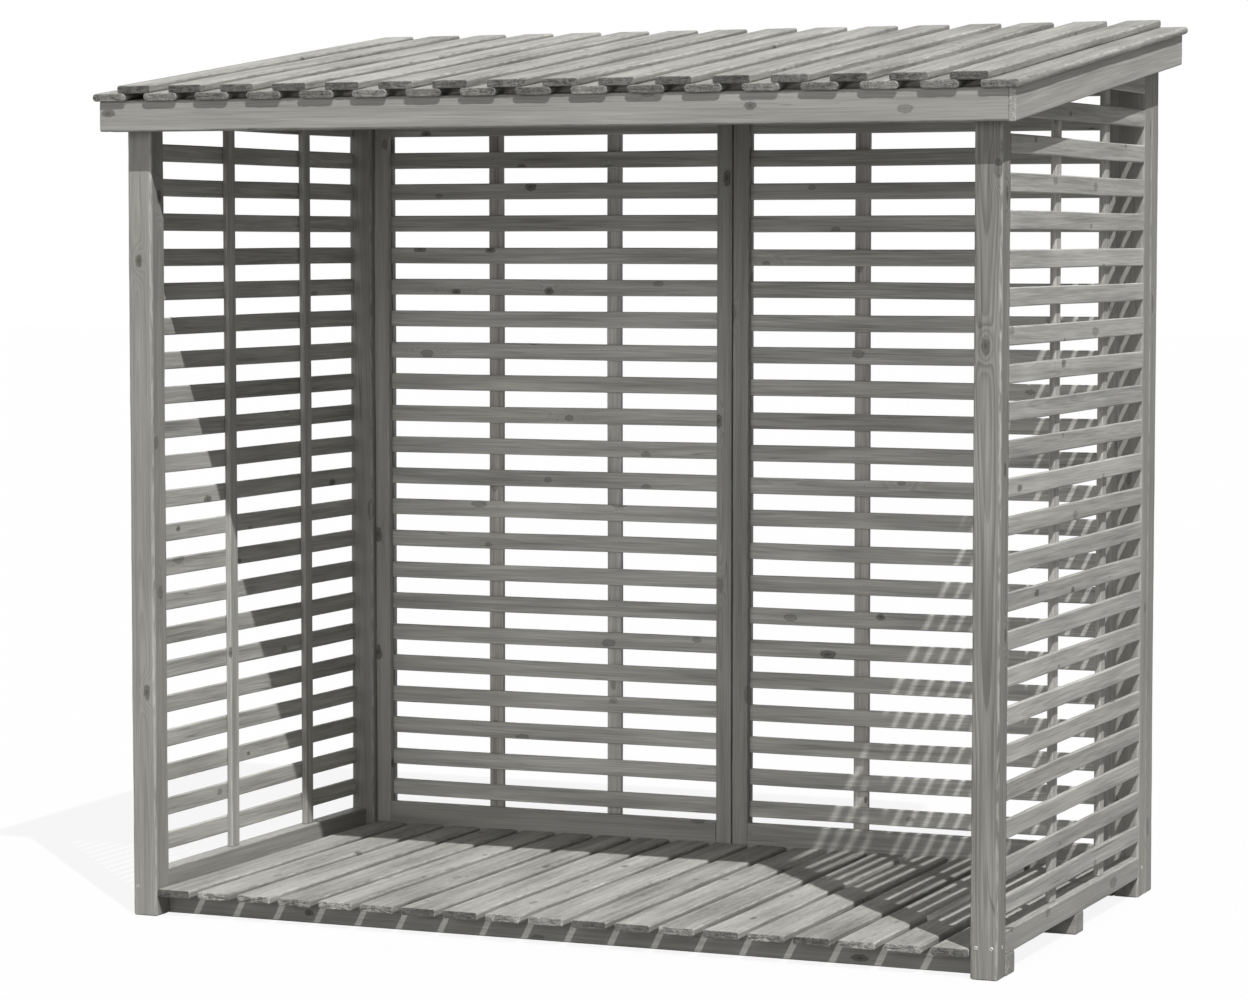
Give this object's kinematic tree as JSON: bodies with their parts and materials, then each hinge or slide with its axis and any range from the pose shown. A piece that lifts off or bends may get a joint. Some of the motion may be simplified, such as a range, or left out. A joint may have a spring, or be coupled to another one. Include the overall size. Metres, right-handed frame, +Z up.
{
  "type": "log store",
  "caption": "Open-fronted timber log store with slatted side and back walls, a board floor and a lean-to roof of two overlapping board layers.",
  "frame": {"origin": "on the ground, below the middle of the roof's plan", "axes": "+Z up, +Y from the open front to the back wall, +X to the right seen from the front"},
  "size_m": [2.482, 1.549, 2.3569],
  "materials": {
    "frame_timber": "planed softwood, weathered grey",
    "slat_timber": "planed softwood, weathered grey",
    "board_timber": "planed softwood, weathered grey",
    "roof_timber": "planed softwood, weathered grey"
  },
  "bodies": {
    "root": {"joist_front": "frame_timber", "joist_middle": "frame_timber", "joist_back": "frame_timber", "beam_front": "frame_timber", "beam_rear": "frame_timber", "purlins": "frame_timber", "post_front_left": "frame_timber", "post_rear_left": "frame_timber", "post_back_left": "frame_timber", "left_wall_rail": "frame_timber", "back_left_stiles": "frame_timber", "back_left_rail_bottom": "frame_timber", "back_left_rail_top": "frame_timber", "post_front_right": "frame_timber", "post_rear_right": "frame_timber", "post_back_right": "frame_timber", "right_wall_rail": "frame_timber", "back_right_stiles": "frame_timber", "back_right_rail_bottom": "frame_timber", "back_right_rail_top": "frame_timber", "left_wall_slats": "slat_timber", "left_wall_battens": "slat_timber", "back_left_slats": "slat_timber", "back_left_battens": "slat_timber", "right_wall_slats": "slat_timber", "right_wall_battens": "slat_timber", "back_right_slats": "slat_timber", "back_right_battens": "slat_timber", "floor_boards": "board_timber", "fascia_front": "board_timber", "fascia_rear": "board_timber", "barge_board_left": "board_timber", "barge_board_right": "board_timber", "roof_boards_lower": "roof_timber", "roof_boards_upper": "roof_timber"}
  },
  "joints": []
}
